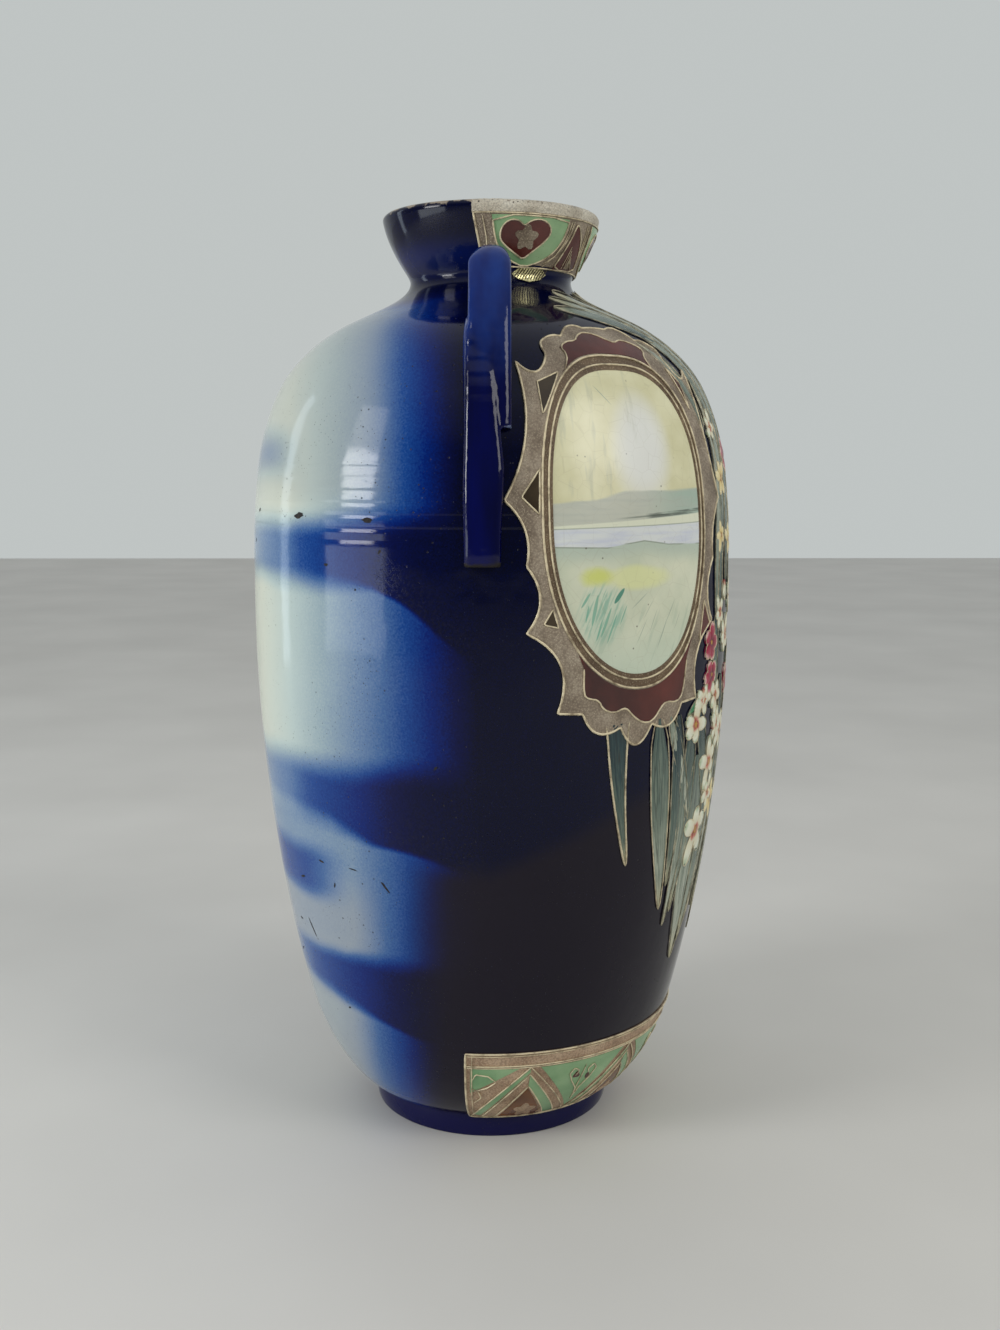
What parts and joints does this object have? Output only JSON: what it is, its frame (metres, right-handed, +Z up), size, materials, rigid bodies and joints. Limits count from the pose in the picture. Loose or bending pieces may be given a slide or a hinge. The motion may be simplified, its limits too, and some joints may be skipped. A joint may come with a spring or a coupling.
{
  "type": "floor vase",
  "caption": "Tall pottery floor vase with a cup mouth, foot ring, looped side handles, cobalt glaze and raised slip framed painted panels.",
  "frame": {"origin": "centre of the foot ring's underside", "axes": "+Z up along the vase's axis, handles on +X and -X, decorated front towards -Y"},
  "size_m": [0.338, 0.3238, 0.61],
  "materials": {
    "glaze": "glossy cobalt glaze with pale sprayed patches behind, raised slip frames, enamel painting in front"
  },
  "bodies": {
    "root": {"vase": "glaze"}
  },
  "joints": []
}
